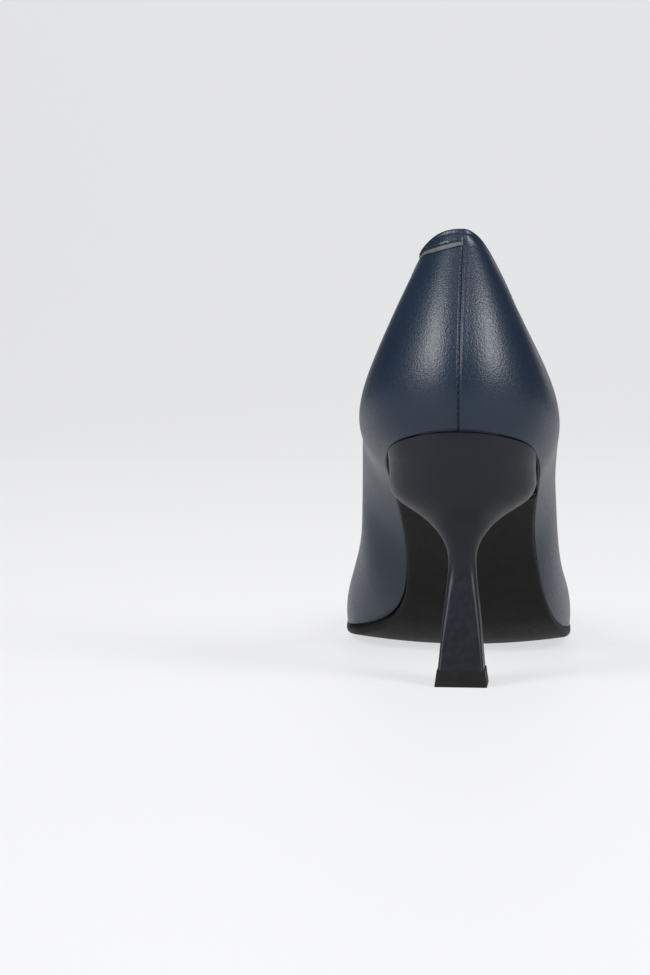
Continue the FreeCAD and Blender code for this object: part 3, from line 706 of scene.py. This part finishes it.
def aim(thing, target):
    direction = np.array(target) - np.array(thing.location)
    flat = math.hypot(direction[0], direction[1])
    thing.rotation_euler = (math.atan2(flat, -direction[2]), 0,
                            math.atan2(-direction[0], direction[1]))


def make_camera():
    ahead = np.array([math.sin(YAW), -math.cos(YAW), 0])
    aside = np.array([-math.cos(YAW), -math.sin(YAW), 0])
    data = bpy.data.cameras.new("camera")
    data.sensor_fit = "HORIZONTAL"
    data.sensor_width = SENSOR
    data.lens = SENSOR * FOCAL_SHARE
    camera = bpy.data.objects.new("camera", data)
    bpy.context.scene.collection.objects.link(camera)
    camera.location = (HOME - ahead * DISTANCE - aside * ASIDE + np.array([0, 0, EYE_HEIGHT])) * MM
    camera.rotation_euler = (math.pi / 2 - PITCH, 0, math.atan2(-ahead[0], ahead[1]))
    bpy.context.scene.camera = camera


def make_floor():
    """A wide pale floor, and a narrower paper sweep rising behind the shoe."""
    floor_half, sweep_half = 8.0, 0.8
    bend_start, bend_radius, sweep_top, clear = 1.2, 1.0, 2.6, 0.0006
    material, _, shader = new_material("pale_floor")
    set_inputs(shader, {"Base Color": (0.16, 0.16, 0.162, 1), "Roughness": 0.6, "Specular IOR Level": 0.2,
                        "Emission Color": (0.96, 0.965, 0.985, 1), "Emission Strength": 0.655})
    sweep = [(-bend_start, clear)]
    for k in range(1, 13):
        angle = k / 12 * math.pi / 2
        sweep.append((-bend_start - bend_radius * math.sin(angle),
                      bend_radius + clear - bend_radius * math.cos(angle)))
    sweep.append((-bend_start - bend_radius, sweep_top))
    flat = [(floor_half, 0.0), (-floor_half, 0.0)]
    for name, half, profile in (("floor", floor_half, flat), ("sweep", sweep_half, sweep)):
        mesh = bpy.data.meshes.new(name)
        verts = []
        for y, z in profile:
            verts += [(-half, y, z), (half, y, z)]
        faces = [(2 * k, 2 * k + 1, 2 * k + 3, 2 * k + 2) for k in range(len(profile) - 1)]
        mesh.from_pydata(verts, [], faces)
        mesh.shade_smooth()
        floor = bpy.data.objects.new(name, mesh)
        bpy.context.scene.collection.objects.link(floor)
        floor.data.materials.append(material)


def area_light(name, place, target, size, power):
    data = bpy.data.lights.new(name, "AREA")
    data.shape = "RECTANGLE"
    data.size, data.size_y = size
    data.energy = power
    light = bpy.data.objects.new(name, data)
    bpy.context.scene.collection.objects.link(light)
    light.location = place
    aim(light, target)


def make_light():
    lit = (0, 0.02, 0.07)       # the middle of the shoe
    area_light("left_softbox", (1.15, 1.2, 1.15), lit, (0.75, 1.5), 50.0)
    area_light("right_softbox", (-1.3, 1.0, 1.2), lit, (0.7, 1.4), 46.0)
    area_light("top_softbox", (0.1, 0.0, 1.2), lit, (0.9, 0.9), 2.0)
    world = bpy.data.worlds.new("studio")
    bpy.context.scene.world = world
    world.use_nodes = True
    set_inputs(world.node_tree.nodes["Background"], {"Color": (1, 1, 1, 1), "Strength": 0.1})
    bpy.context.scene.view_settings.view_transform = "Standard"
    bpy.context.scene.view_settings.look = "None"


make_camera()
make_floor()
make_light()
